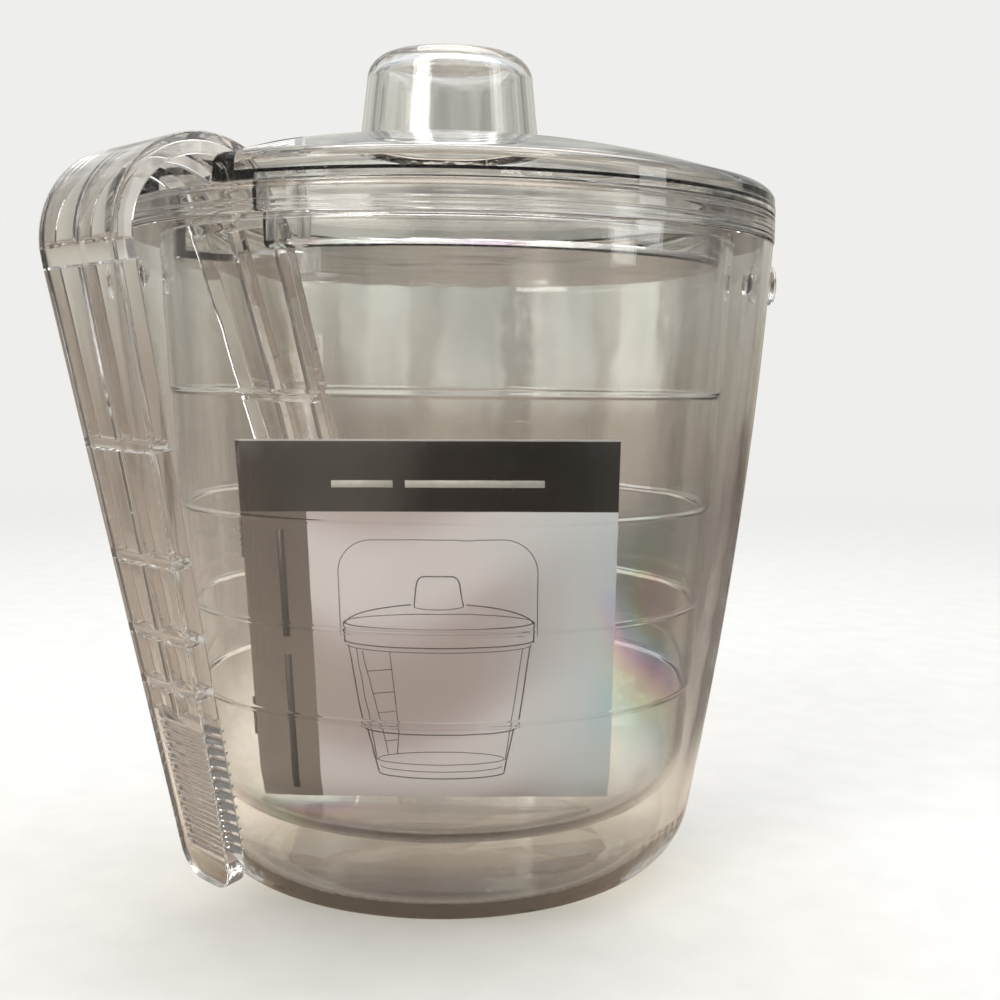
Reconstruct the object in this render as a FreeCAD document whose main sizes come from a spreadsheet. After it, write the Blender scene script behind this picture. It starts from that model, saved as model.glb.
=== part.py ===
"""Clear double-wall ice bucket with a notched domed lid, ice tongs hung over the rim and a leaflet inside.

Millimetres, +Z up.  The origin is the centre of the bucket's foot, on the surface it stands on.
+Y points to the back of the bucket, and the two handle studs lie on the X axis.
"""
import FreeCAD, Part

import math
import os

import Sketcher
from FreeCAD import Placement, Rotation, Vector

SIZES = {
    # bucket body
    "rim_radius": 95.0,
    "rim_base": 183.9,
    "rim_top": 191.5,
    "rim_edge": 1.0,
    "shell_wall": 2.5,
    "shell_foot": 70.2,
    "shell_mouth": 94.6,
    "shell_crown": 1345.0,
    "shell_corner": 24.3,
    "foot_floor": 3.3,
    # inner liner: its outside radius at the floor, the draft of each band and the step at each ring
    "liner_wall": 2.2,
    "liner_foot": 71.6,
    "liner_draft": 0.055,
    "liner_step": 0.75,
    "liner_base": 22.0,
    "liner_corner": 20.0,
    "ring_one": 57.7,
    "ring_two": 81.4,
    "ring_three": 109.0,
    "ring_four": 140.9,
    # handle studs
    "stud_height": 174.0,
    "stud_radius": 5.85,
    "stud_seat": 94.6,
    "stud_face": 97.2,
    "stud_edge": 1.2,
    "stud_shank_radius": 3.0,
    "stud_shank_end": 89.6,
    "stud_gap": 0.05,
    # lid liner, the cup under the lid
    "seat_gap": 0.3,
    "lid_flange": 2.3,
    "lid_liner_wall": 2.2,
    "plug_top_radius": 80.4,
    "plug_low_radius": 79.5,
    "plug_base": 177.0,
    "plug_round": 1.5,
    # lid cover, with its hollow knob
    "cover_wall": 2.6,
    "cover_radius": 94.8,
    "cover_edge_top": 199.4,
    "cover_edge_low": 196.4,
    "cover_edge_width": 3.8,
    "cover_edge_round": 4.2,
    "cover_inner_edge": 198.2,
    "dome_radius": 290.0,
    "dome_shoulder": 212.8,
    "cover_seat_radius": 86.0,
    "knob_base_radius": 26.35,
    "knob_top_radius": 24.3,
    "knob_top": 238.9,
    "knob_round": 7.3,
    "knob_wall": 3.6,
    "knob_foot_round": 1.2,
    # notch in the lid for the tongs
    "notch_half_width": 21.6,
    "notch_bottom": 62.5,
    "notch_round": 6.0,
    # tongs, in their own plane through the bucket's axis
    "tongs_azimuth": 219.8,
    "bow_centre_out": 93.0,
    "bow_centre_up": 179.0,
    "bow_radius": 25.0,
    "bow_half_width": 20.2,
    "outer_tilt": 12.2,
    "inner_tilt": 17.5,
    "channel_depth": 5.5,
    "channel_web": 2.0,
    "channel_edge": 1.9,
    "spine_half": 1.3,
    "bow_channel_low": 5.0,
    "bow_channel_high": 24.0,
    "arm_gap": 0.4,
    "arm_length": 168.1,
    "arm_top_half": 20.2,
    "arm_tip_half": 11.9,
    "arm_tip_round": 7.5,
    "arm_tip_bend": 7.95,
    "rib_width": 2.2,
    "grip_start": 46.5,
    "tooth_pitch": 3.13,
    "tooth_height": 1.9,
    "tooth_root": 1.0,
    "tooth_peak": 0.45,
    "tooth_half_width": 10.6,
    # leaflet
    "leaflet_width": 98.0,
    "leaflet_height": 107.5,
    "leaflet_cover": 0.35,
    "leaflet_pages": 1.1,
    "leaflet_lean": 15.8,
    "leaflet_turn": -2.5,
    "leaflet_roll": -0.6,
    "leaflet_foot_side": -2.5,
    "leaflet_foot_out": 27.2,
    "leaflet_foot_up": 25.8,
    "leaflet_margin": 1.0,
    "leaflet_trim": 0.3,
    "leaflet_gap": 0.02,
    "staple_wire": 0.5,
    "staple_span": 12.0,
}

TOOTH_COUNT = 12
RIB_STATIONS = (120.6, 90.5, 69.9, 55.5)
CORNER_EDGE_TOLERANCE = 0.05

doc = FreeCAD.newDocument("ice_bucket")
sheet = doc.addObject("Spreadsheet::Sheet", "sizes")
for row, (alias, number) in enumerate(SIZES.items(), start=1):
    sheet.set(f"A{row}", alias)
    sheet.set(f"B{row}", str(number))
    sheet.setAlias(f"B{row}", alias)
doc.recompute()


def bound(expression):
    """The expression with each size name pointed at the sheet: rim_top -> sizes.rim_top."""
    words = []
    word = ""
    for sign in expression + " ":
        if sign.isalnum() or sign == "_":
            word += sign
            continue
        words.append("sizes." + word if word in SIZES else word)
        words.append(sign)
        word = ""
    return "".join(words).strip()


def value(expression):
    """The number that an expression over the sheet gives."""
    number = sheet.evalExpression(bound(expression))
    return float(number.Value) if hasattr(number, "Value") else float(number)


def new_body(label):
    body = doc.addObject("PartDesign::Body", label)
    body.Label = label
    return body


def new_sketch(body, name, role, height=None):
    """A sketch on one of the body's own origin planes, raised along the plane's normal."""
    plane = next(item for item in body.Origin.OriginFeatures if item.Role == role)
    sketch = body.newObject("Sketcher::SketchObject", name)
    sketch.AttachmentSupport = [(plane, "")]
    sketch.MapMode = "FlatFace"
    if height is not None:
        sketch.setExpression("AttachmentOffset.Base.z", bound(height))
    return sketch


def pin_point(sketch, geometry, position, across, up):
    """Holds a point of the sketch at two expressions, measured from the sketch's origin."""
    for kind, expression in (("DistanceX", across), ("DistanceY", up)):
        index = sketch.addConstraint(
            Sketcher.Constraint(kind, -1, 1, geometry, position, value(expression)))
        sketch.setExpression(f"Constraints[{index}]", bound(expression))


def outline(sketch, corners, arcs=None):
    """A closed outline through (across, up) expressions.

    arcs maps a side's number to (radius expression, side on which its centre lies: +1 left, -1 right).
    """
    arcs = arcs or {}
    points = [Vector(value(across), value(up), 0) for across, up in corners]
    sides = []
    for number, start in enumerate(points):
        end = points[(number + 1) % len(points)]
        if number not in arcs:
            geometry = sketch.addGeometry(Part.LineSegment(start, end), False)
            sides.append((geometry, 1, 2))
            continue
        radius, hand = value(arcs[number][0]), arcs[number][1]
        chord = end - start
        normal = Vector(-chord.y, chord.x, 0).normalize() * hand
        centre = (start + end) * 0.5 + normal * math.sqrt(radius ** 2 - (chord.Length / 2) ** 2)
        first, last = (start, end) if hand > 0 else (end, start)
        begin = math.atan2(first.y - centre.y, first.x - centre.x)
        finish = math.atan2(last.y - centre.y, last.x - centre.x)
        while finish < begin:
            finish += 2 * math.pi
        circle = Part.Circle(centre, Vector(0, 0, 1), radius)
        geometry = sketch.addGeometry(Part.ArcOfCircle(circle, begin, finish), False)
        sides.append((geometry, 1, 2) if hand > 0 else (geometry, 2, 1))
    for number, (geometry, start_end, far_end) in enumerate(sides):
        following = sides[(number + 1) % len(sides)]
        sketch.addConstraint(
            Sketcher.Constraint("Coincident", geometry, far_end, following[0], following[1]))
    for (geometry, start_end, far_end), (across, up) in zip(sides, corners):
        pin_point(sketch, geometry, start_end, across, up)
    for number, (radius, hand) in arcs.items():
        index = sketch.addConstraint(
            Sketcher.Constraint("Radius", sides[number][0], value(radius)))
        sketch.setExpression(f"Constraints[{index}]", bound(radius))


def ring(sketch, across, up, radius):
    """A circle held at a centre and a radius."""
    centre = Vector(value(across), value(up), 0)
    geometry = sketch.addGeometry(Part.Circle(centre, Vector(0, 0, 1), value(radius)), False)
    pin_point(sketch, geometry, 3, across, up)
    index = sketch.addConstraint(Sketcher.Constraint("Radius", geometry, value(radius)))
    sketch.setExpression(f"Constraints[{index}]", bound(radius))


def revolve(body, name, sketch):
    """Turns a sketch on the XZ plane through a full circle about Z."""
    feature = body.newObject("PartDesign::Revolution", name)
    feature.Profile = sketch
    feature.ReferenceAxis = (sketch, ["V_Axis"])
    feature.Angle = 360
    doc.recompute()
    return feature


def pad(body, name, sketch, length, both_ways=False, reverse=False):
    feature = body.newObject("PartDesign::Pad", name)
    feature.Profile = sketch
    feature.setExpression("Length", bound(length))
    feature.Midplane = both_ways
    feature.Reversed = reverse
    doc.recompute()
    return feature


def pocket(body, name, sketch, length=None, both_ways=False, reverse=False):
    """Cuts a sketch out of the body, through everything or to a length, and checks that it cut."""
    before = body.Shape.Volume
    feature = body.newObject("PartDesign::Pocket", name)
    feature.Profile = sketch
    if length is None:
        feature.Type = "ThroughAll"
    else:
        feature.setExpression("Length", bound(length))
    feature.Midplane = both_ways
    feature.Reversed = reverse
    doc.recompute()
    if feature.Shape.Volume > before - 1e-3:
        raise RuntimeError(name + " cut nothing")
    return feature


def round_edges(body, name, feature, radius, chosen):
    """Rounds the edges of a feature that the test picks."""
    names = [f"Edge{n}" for n, edge in enumerate(feature.Shape.Edges, start=1) if chosen(edge)]
    if not names:
        raise RuntimeError(name + " found no edge")
    fillet = body.newObject("PartDesign::Fillet", name)
    fillet.Base = (feature, names)
    fillet.setExpression("Radius", bound(radius))
    doc.recompute()
    return fillet


def hoop(radius, height):
    """A test for a circular edge about the Z axis, of a given radius and height."""
    def chosen(edge):
        curve = edge.Curve
        if not isinstance(curve, Part.Circle):
            return False
        off = math.hypot(curve.Center.x, curve.Center.y)
        return (off < CORNER_EDGE_TOLERANCE and abs(curve.Radius - value(radius)) < CORNER_EDGE_TOLERANCE
                and abs(curve.Center.z - value(height)) < CORNER_EDGE_TOLERANCE)
    return chosen


# --- outer shell: the crowned, tapered outside wall with its foot -----------------------------
def make_outer_shell():
    body = new_body("outer_shell")
    profile = new_sketch(body, "shell_profile", "XZ_Plane")
    outline(profile, [
        ("0", "0"),
        ("shell_foot", "0"),
        ("shell_mouth", "rim_base"),
        ("shell_mouth - shell_wall", "rim_base"),
        ("shell_foot - shell_wall", "foot_floor"),
        ("0", "foot_floor"),
    ], arcs={1: ("shell_crown", 1), 3: ("shell_crown - shell_wall", -1)})
    wall = revolve(body, "shell_wall_turned", profile)
    outside = round_edges(body, "shell_corner_out", wall, "shell_corner", hoop("shell_foot", "0"))
    round_edges(body, "shell_corner_in", outside, "shell_corner - shell_wall",
                hoop("shell_foot - shell_wall", "foot_floor"))
    bores = new_sketch(body, "stud_bores", "YZ_Plane")
    ring(bores, "0", "stud_height", "stud_shank_radius + stud_gap")
    pocket(body, "stud_bores_cut", bores, both_ways=True)
    return body


# --- inner liner: drafted bands with a small step at each ring, and the solid rim --------------
def liner_profile(inset, floor):
    """The liner's side from the floor to the rim, set in from its outside face by an expression."""
    points = [(f"liner_foot - ({inset})", floor)]
    levels = ["liner_base", "ring_one", "ring_two", "ring_three", "ring_four"]
    for steps, level in enumerate(levels[1:]):
        radius = f"liner_foot - ({inset}) + liner_draft * ({level} - liner_base) + {steps} * liner_step"
        points.append((radius, level))
        points.append((f"{radius} + liner_step", f"{level} + liner_step"))
    return points


def make_inner_liner():
    body = new_body("inner_liner")
    profile = new_sketch(body, "liner_profile", "XZ_Plane")
    last = "liner_draft * (rim_base - liner_base) + 4 * liner_step"
    floor = "liner_base + liner_wall"
    outside = liner_profile("0", "liner_base")
    inside = liner_profile("liner_wall", floor)
    corners = [("0", "liner_base")] + outside + [
        (f"liner_foot + {last}", "rim_base"),
        ("rim_radius", "rim_base"),
        ("rim_radius", "rim_top"),
        (f"liner_foot - liner_wall + {last}", "rim_top"),
    ] + inside[::-1] + [("0", floor)]
    outline(profile, corners)
    turned = revolve(body, "liner_turned", profile)
    outer = round_edges(body, "liner_corner_out", turned, "liner_corner",
                        hoop("liner_foot", "liner_base"))
    inner = round_edges(body, "liner_corner_in", outer, "liner_corner - liner_wall",
                        hoop("liner_foot - liner_wall", floor))
    low = round_edges(body, "rim_edge_low", inner, "rim_edge", hoop("rim_radius", "rim_base"))
    round_edges(body, "rim_edge_high", low, "rim_edge / 2", hoop("rim_radius", "rim_top"))
    return body


# --- handle studs: the two pivots for a bail handle, pressed through the outer shell ----------
def make_handle_stud(side):
    body = new_body(f"handle_stud_{side}")
    profile = new_sketch(body, f"stud_profile_{side}", "XZ_Plane")
    outline(profile, [
        ("0", "stud_shank_end"),
        ("stud_shank_radius", "stud_shank_end"),
        ("stud_shank_radius", "stud_seat"),
        ("stud_radius", "stud_seat"),
        ("stud_radius", "stud_face"),
        ("0", "stud_face"),
    ])
    turned = revolve(body, f"stud_turned_{side}", profile)
    round_edges(body, f"stud_edge_{side}", turned, "stud_edge", hoop("stud_radius", "stud_face"))
    turn = 90 if side == "right" else -90
    body.Placement = Placement(Vector(0, 0, value("stud_height")), Rotation(Vector(0, 1, 0), turn))
    return body


# --- notch: the slot in the lid's edge that the tongs pass through ----------------------------
def notch_sketch(body, name, height):
    """A slot with rounded inner corners that opens outwards, along the X axis of the lid's own frame."""
    sketch = new_sketch(body, name, "XY_Plane", height)
    outline(sketch, [
        ("rim_radius + notch_round", "-notch_half_width"),
        ("rim_radius + notch_round", "notch_half_width"),
        ("notch_bottom + notch_round", "notch_half_width"),
        ("notch_bottom", "notch_half_width - notch_round"),
        ("notch_bottom", "notch_round - notch_half_width"),
        ("notch_bottom + notch_round", "-notch_half_width"),
    ], arcs={2: ("notch_round", 1), 4: ("notch_round", 1)})
    return sketch


def lid_placement():
    """The lid is drawn with its notch along X, then turned to the tongs."""
    return Placement(Vector(0, 0, 0), Rotation(Vector(0, 0, 1), value("tongs_azimuth")))


# --- lid liner: a shallow cup whose flange rests on the rim, its wall following the notch ------
def make_lid_liner():
    body = new_body("lid_liner")
    profile = new_sketch(body, "lid_liner_profile", "XZ_Plane")
    seat = "rim_top + seat_gap"
    outline(profile, [
        ("0", "plug_base"),
        ("plug_low_radius", "plug_base"),
        ("plug_top_radius", seat),
        ("rim_radius", seat),
        ("rim_radius", f"{seat} + lid_flange"),
        ("0", f"{seat} + lid_flange"),
    ])
    turned = revolve(body, "lid_liner_turned", profile)
    round_edges(body, "plug_edge", turned, "plug_round", hoop("plug_low_radius", "plug_base"))
    slot = notch_sketch(body, "lid_liner_notch", f"{seat} + lid_flange")
    pocket(body, "lid_liner_notch_cut", slot)
    hollow = new_sketch(body, "lid_liner_hollow", "XY_Plane", f"{seat} + lid_flange")
    inside = "plug_low_radius - lid_liner_wall"
    half = "notch_half_width + lid_liner_wall"
    bottom = "notch_bottom - lid_liner_wall"
    bend = "notch_round + lid_liner_wall"
    mouth = f"sqrt(({inside}) ^ 2 - ({half}) ^ 2)"
    outline(hollow, [
        (mouth, half),
        (f"-({inside})", "0"),
        (mouth, f"-({half})"),
        (f"{bottom} + {bend}", f"-({half})"),
        (bottom, f"{bend} - ({half})"),
        (bottom, f"{half} - ({bend})"),
        (f"{bottom} + {bend}", half),
    ], arcs={0: (inside, 1), 1: (inside, 1), 3: (bend, -1), 5: (bend, -1)})
    depth = f"{seat} + lid_flange - plug_base - lid_liner_wall"
    pocket(body, "lid_liner_hollow_cut", hollow, depth)
    body.Placement = lid_placement()
    return body


# --- lid cover: a shallow dome with a hollow knob, notched for the tongs -----------------------
def make_lid_cover():
    body = new_body("lid_cover")
    seat = "rim_top + seat_gap + lid_flange"
    profile = new_sketch(body, "cover_profile", "XZ_Plane")
    outline(profile, [
        ("knob_base_radius - knob_wall", "dome_shoulder - cover_wall"),
        ("cover_seat_radius", "cover_inner_edge"),
        ("cover_seat_radius", seat),
        ("cover_radius", seat),
        ("cover_radius", "cover_edge_low"),
        ("cover_radius - cover_edge_width", "cover_edge_top"),
        ("knob_base_radius", "dome_shoulder"),
        ("knob_top_radius", "knob_top - knob_round"),
        ("knob_top_radius - knob_round", "knob_top"),
        ("0", "knob_top"),
        ("0", "knob_top - knob_wall"),
        ("knob_top_radius - knob_round", "knob_top - knob_wall"),
        ("knob_top_radius - knob_wall", "knob_top - knob_round"),
    ], arcs={
        0: ("dome_radius - cover_wall", -1),
        4: ("cover_edge_round", 1),
        5: ("dome_radius", 1),
        7: ("knob_round", 1),
        11: ("knob_round - knob_wall", -1),
    })
    turned = revolve(body, "cover_turned", profile)
    round_edges(body, "knob_foot", turned, "knob_foot_round", hoop("knob_base_radius", "dome_shoulder"))
    slot = notch_sketch(body, "cover_notch", "knob_top")
    pocket(body, "cover_notch_cut", slot)
    body.Placement = lid_placement()
    return body


# --- tongs: one springy channel bent over the rim, drawn in the plane X outwards, Z up ---------
def tongs_placement(out, up, tilt, about_face=False):
    """A place in the tongs' plane, tilted in it by degrees, turned to the tongs' side of the rim."""
    turn = Rotation(Vector(0, 0, 1), value("tongs_azimuth"))
    lean = Rotation(Vector(0, 1, 0), tilt)
    face = Rotation(Vector(0, 0, 1), 180 if about_face else 0)
    return Placement(turn.multVec(Vector(out, 0, up)), turn.multiply(lean).multiply(face))


def bow_sector(sketch, outer, inner, low, high):
    """A sector of the bow between two radii, from low degrees under its outer end to high over its inner."""
    outline(sketch, [
        (f"({outer}) * cos({low} * 1deg)", f"-({outer}) * sin({low} * 1deg)"),
        ("0", f"{outer}"),
        (f"-({outer}) * cos({high} * 1deg)", f"({outer}) * sin({high} * 1deg)"),
        (f"-({inner}) * cos({high} * 1deg)", f"({inner}) * sin({high} * 1deg)"),
        ("0", f"{inner}"),
        (f"({inner}) * cos({low} * 1deg)", f"-({inner}) * sin({low} * 1deg)"),
    ], arcs={0: (outer, 1), 1: (outer, 1), 3: (inner, -1), 4: (inner, -1)})


def make_tongs_bow():
    body = new_body("tongs_bow")
    section = new_sketch(body, "bow_section", "XZ_Plane")
    bow_sector(section, "bow_radius", "bow_radius - channel_depth", "outer_tilt", "inner_tilt")
    pad(body, "bow_pad", section, "2 * bow_half_width", both_ways=True)
    for side, sign in (("near", ""), ("far", "-")):
        middle = f"{sign}((bow_half_width - channel_edge + spine_half) / 2)"
        groove = new_sketch(body, f"bow_channel_{side}", "XZ_Plane", middle)
        bow_sector(groove, "bow_radius - channel_web", "bow_radius - 2 * channel_depth",
                   "bow_channel_low", "bow_channel_high")
        pocket(body, f"bow_channel_cut_{side}", groove, "bow_half_width - channel_edge - spine_half",
               both_ways=True)
    body.Placement = tongs_placement(value("bow_centre_out"), value("bow_centre_up"), 0)
    return body


def arm_half_width(station, inset):
    """Half the arm's width at a distance from its tip, less an inset."""
    return f"arm_tip_half + (arm_top_half - arm_tip_half) * ({station}) / arm_length - ({inset})"


def make_tongs_arm(name, top):
    """One arm, standing on its tip: X from the outer face inwards, Y across, Z up to its top."""
    body = new_body(name)
    plan = new_sketch(body, f"{name}_plan", "YZ_Plane")
    bend = "arm_tip_round"
    tip = arm_half_width("0", "0")
    side = arm_half_width(bend, "0")
    outline(plan, [
        (arm_half_width(top, "0"), top),
        (f"-({arm_half_width(top, '0')})", top),
        (f"-({side})", bend),
        (f"-({tip} - {bend})", "0"),
        (f"{tip} - {bend}", "0"),
        (side, bend),
    ], arcs={2: ("arm_tip_bend", 1), 4: ("arm_tip_bend", 1)})
    pad(body, f"{name}_pad", plan, "channel_depth")
    stations = [top] + [str(station) for station in RIB_STATIONS] + ["grip_start"]
    for number, (upper, lower) in enumerate(zip(stations, stations[1:]), start=1):
        ceiling = f"{upper} - rib_width / 2" if number > 1 else f"{upper} - rib_width"
        floor = f"{lower} + rib_width / 2"
        for hand, sign in (("near", ""), ("far", "-")):
            bay = new_sketch(body, f"{name}_bay_{number}_{hand}", "YZ_Plane", "channel_depth")
            outline(bay, [
                (f"{sign}(spine_half)", ceiling),
                (f"{sign}(spine_half)", floor),
                (f"{sign}({arm_half_width(floor, 'channel_edge')})", floor),
                (f"{sign}({arm_half_width(ceiling, 'channel_edge')})", ceiling),
            ])
            pocket(body, f"{name}_bay_cut_{number}_{hand}", bay, "channel_depth - channel_web")
    teeth = new_sketch(body, f"{name}_teeth", "XZ_Plane")
    base = "channel_depth - tooth_root"
    start = "grip_start - tooth_root"
    points = [(base, start)]
    for number in range(TOOTH_COUNT):
        points.append(("channel_depth", f"{start} - {number} * tooth_pitch"))
        points.append(("channel_depth + tooth_height",
                       f"{start} - ({number} + tooth_peak) * tooth_pitch"))
    points.append(("channel_depth", f"{start} - {TOOTH_COUNT} * tooth_pitch"))
    points.append((base, f"{start} - {TOOTH_COUNT} * tooth_pitch"))
    outline(teeth, points)
    pad(body, f"{name}_teeth_pad", teeth, "2 * tooth_half_width", both_ways=True)
    return body


def arm_tip_place(tilt, side):
    """Where an arm's tip lies: from the bow's end, down the arm. side is +1 outer, -1 inner."""
    angle = math.radians(value(tilt))
    radius = value("bow_radius")
    length = value("arm_length")
    out = value("bow_centre_out") + side * radius * math.cos(angle) - length * math.sin(angle)
    up = value("bow_centre_up") - side * radius * math.sin(angle) - length * math.cos(angle)
    return out, up


# --- leaflet: folded cover, inner pages and two staples, leaning in the liner ------------------
def leaflet_placement():
    """The leaflet's own frame: X across, Y towards its back, Z up its spine, foot at the origin."""
    turn = Rotation(Vector(0, 0, 1), value("leaflet_turn"))
    lean = Rotation(Vector(1, 0, 0), value("leaflet_lean"))
    roll = Rotation(Vector(0, 1, 0), value("leaflet_roll"))
    foot = Vector(value("leaflet_foot_side"), -value("leaflet_foot_out"), value("leaflet_foot_up"))
    return Placement(foot, turn.multiply(lean).multiply(roll))


def make_leaflet_cover():
    body = new_body("leaflet_cover")
    plan = new_sketch(body, "leaflet_cover_plan", "XY_Plane")
    half = "leaflet_width / 2"
    fold = "leaflet_cover"
    inside = "leaflet_pages / 2 + leaflet_gap"
    outline(plan, [
        (half, f"-({inside} + {fold})"),
        (half, f"-({inside})"),
        (f"-({half} - {fold})", f"-({inside})"),
        (f"-({half} - {fold})", inside),
        (half, inside),
        (half, f"{inside} + {fold}"),
        (f"-({half})", f"{inside} + {fold}"),
        (f"-({half})", f"-({inside} + {fold})"),
    ])
    pad(body, "leaflet_cover_pad", plan, "leaflet_height")
    body.Placement = leaflet_placement()
    return body


def make_leaflet_pages():
    pages = doc.addObject("Part::Box", "leaflet_pages_block")
    pages.Label = "leaflet_pages"
    pages.setExpression("Length", bound("leaflet_width - leaflet_cover - leaflet_gap - leaflet_margin"))
    pages.setExpression("Width", bound("leaflet_pages"))
    pages.setExpression("Height", bound("leaflet_height - 2 * leaflet_trim"))
    corner = Vector(value("leaflet_gap + leaflet_cover - leaflet_width / 2"), value("-leaflet_pages / 2"),
                    value("leaflet_trim"))
    pages.Placement = leaflet_placement().multiply(Placement(corner, Rotation()))
    return pages


def make_leaflet_staples():
    staples = []
    for number, share in enumerate((0.25, 0.75), start=1):
        wire = doc.addObject("Part::Box", f"staple_{number}")
        wire.setExpression("Length", bound("staple_wire"))
        wire.setExpression("Width", bound("leaflet_pages"))
        wire.setExpression("Height", bound("staple_span"))
        height = share * value("leaflet_height") - value("staple_span") / 2
        corner = Vector(value("-leaflet_width / 2 - staple_wire"), value("-leaflet_pages / 2"), height)
        wire.Placement = leaflet_placement().multiply(Placement(corner, Rotation()))
        staples.append(wire)
    group = doc.addObject("Part::Compound", "leaflet_staples")
    group.Label = "leaflet_staples"
    group.Links = staples
    return group


outer_arm = make_tongs_arm("tongs_outer_arm", "arm_length - arm_gap")
outer_out, outer_up = arm_tip_place("outer_tilt", 1)
outer_arm.Placement = tongs_placement(outer_out, outer_up, value("outer_tilt"), about_face=True)
inner_arm = make_tongs_arm("tongs_inner_arm", "arm_length")
inner_out, inner_up = arm_tip_place("inner_tilt", -1)
inner_arm.Placement = tongs_placement(inner_out, inner_up, value("inner_tilt"))

sub_parts = [
    make_outer_shell(),
    make_inner_liner(),
    make_handle_stud("right"),
    make_handle_stud("left"),
    make_lid_liner(),
    make_lid_cover(),
    make_tongs_bow(),
    outer_arm,
    inner_arm,
    make_leaflet_cover(),
    make_leaflet_pages(),
    make_leaflet_staples(),
]
doc.recompute()

for item in doc.Objects:
    if "Invalid" in item.State or "Error" in item.State:
        raise RuntimeError(f"{item.Name} did not compute")
os.makedirs("parts", exist_ok=True)
for sub_part in sub_parts:
    shape = sub_part.Shape
    if shape.isNull() or not shape.isValid():
        raise RuntimeError(f"{sub_part.Label} has no valid shape")
    shape.exportStep(f"parts/{sub_part.Label}.step")
    box = shape.BoundBox
    print(f"{sub_part.Label}: {shape.Volume / 1000:.1f} cm3, {len(shape.Solids)} solid(s), "
          f"x {box.XMin:.1f} {box.XMax:.1f}, y {box.YMin:.1f} {box.YMax:.1f}, "
          f"z {box.ZMin:.1f} {box.ZMax:.1f}")
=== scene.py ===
"""Looks of the clear ice bucket: stage, light, camera, materials and the pieces that replace CAD nodes.

Metres, in the CAD's frame: +Z up, the bucket's foot at the origin, the tongs on the -X -Y side.
"""
import math

import bmesh
import bpy
from mathutils import Matrix, Vector


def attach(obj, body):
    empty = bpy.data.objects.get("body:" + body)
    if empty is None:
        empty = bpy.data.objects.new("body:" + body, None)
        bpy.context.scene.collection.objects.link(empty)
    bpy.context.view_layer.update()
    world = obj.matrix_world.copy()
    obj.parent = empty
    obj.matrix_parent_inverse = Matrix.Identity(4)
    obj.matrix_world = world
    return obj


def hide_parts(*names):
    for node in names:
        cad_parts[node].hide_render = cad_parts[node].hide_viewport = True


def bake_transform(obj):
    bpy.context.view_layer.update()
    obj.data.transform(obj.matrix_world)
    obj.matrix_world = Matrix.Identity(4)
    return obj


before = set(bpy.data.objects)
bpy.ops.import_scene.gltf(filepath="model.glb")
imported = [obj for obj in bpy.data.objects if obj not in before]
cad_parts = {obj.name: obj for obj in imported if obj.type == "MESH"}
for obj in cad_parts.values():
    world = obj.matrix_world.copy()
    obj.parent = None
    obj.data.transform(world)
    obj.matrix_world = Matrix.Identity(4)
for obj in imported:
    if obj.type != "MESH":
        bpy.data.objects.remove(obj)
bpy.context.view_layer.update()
MM = 0.001


# --- shader helpers -------------------------------------------------------------------------
class Shader:
    """The node tree of a material or a world, with short calls for the nodes used here."""

    def __init__(self, owner, output="ShaderNodeOutputMaterial"):
        owner.use_nodes = True
        self.owner = owner
        self.tree = owner.node_tree
        self.tree.nodes.clear()
        self.output = self.tree.nodes.new(output)

    def node(self, kind, settings=None, **sockets):
        """Adds a node. A socket goes by its name, with _ for a space, or by its place, as in _0."""
        made = self.tree.nodes.new(kind)
        for key, setting in (settings or {}).items():
            setattr(made, key, setting)
        for key, given in sockets.items():
            self.feed(made.inputs[int(key[1:]) if key[0] == "_" else key.replace("_", " ")], given)
        return made

    def feed(self, socket, given):
        """Links another node's output into a socket, or sets the socket's own value."""
        if isinstance(given, bpy.types.NodeSocket):
            self.tree.links.new(given, socket)
        else:
            socket.default_value = given

    def math(self, operation, first, second=0.0):
        return self.node("ShaderNodeMath", {"operation": operation}, _0=first, _1=second).outputs[0]

    def position(self):
        """Object coordinates, which are the CAD's own frame for every piece here."""
        return self.node("ShaderNodeTexCoord").outputs["Object"]

    def noise(self, vector, scale, detail=3.0):
        return self.node("ShaderNodeTexNoise", Vector=vector, Scale=scale, Detail=detail).outputs["Fac"]

    def ramp(self, factor, stops):
        """A colour ramp through (position, colour) stops."""
        made = self.node("ShaderNodeValToRGB", _0=factor)
        elements = made.color_ramp.elements
        while len(elements) < len(stops):
            elements.new(0.5)
        for element, (place, colour) in zip(elements, stops):
            element.position = place
            element.color = (*colour, 1)
        return made.outputs["Color"]

    def mix(self, factor, first, second):
        """Colour that goes from first to second as factor goes from 0 to 1."""
        made = self.node("ShaderNodeMix", {"data_type": "RGBA"})
        self.feed(made.inputs["Factor"], factor)
        self.feed(made.inputs["A"], first)
        self.feed(made.inputs["B"], second)
        return made.outputs["Result"]

    def stretch(self, factor, low, high, start=0.0, end=1.0):
        """Maps low..high smoothly onto start..end."""
        made = self.node("ShaderNodeMapRange", {"interpolation_type": "SMOOTHSTEP"},
                         Value=factor, From_Min=low, From_Max=high, To_Min=start, To_Max=end)
        return made.outputs["Result"]

    def split(self, vector):
        return self.node("ShaderNodeSeparateXYZ", Vector=vector).outputs

    def length(self, vector):
        return self.node("ShaderNodeVectorMath", {"operation": "LENGTH"}, _0=vector).outputs["Value"]

    def product(self, first, *others):
        """The product of two or more factors."""
        for other in others:
            first = self.math("MULTIPLY", first, other)
        return first

    def surface(self, shader):
        """Ends the tree with this shader, and gives the material or world back."""
        self.tree.links.new(shader.outputs[0], self.output.inputs["Surface"])
        return self.owner


def new_material(name):
    return Shader(bpy.data.materials.new(name))


CLEAR_IOR = 1.5
CLEAR_TINT = (0.985, 0.982, 0.972, 1)
TONGS_TINT = (0.91, 0.88, 0.85, 1)
SHADOW_TINT = (0.93, 0.92, 0.90, 1)


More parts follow.
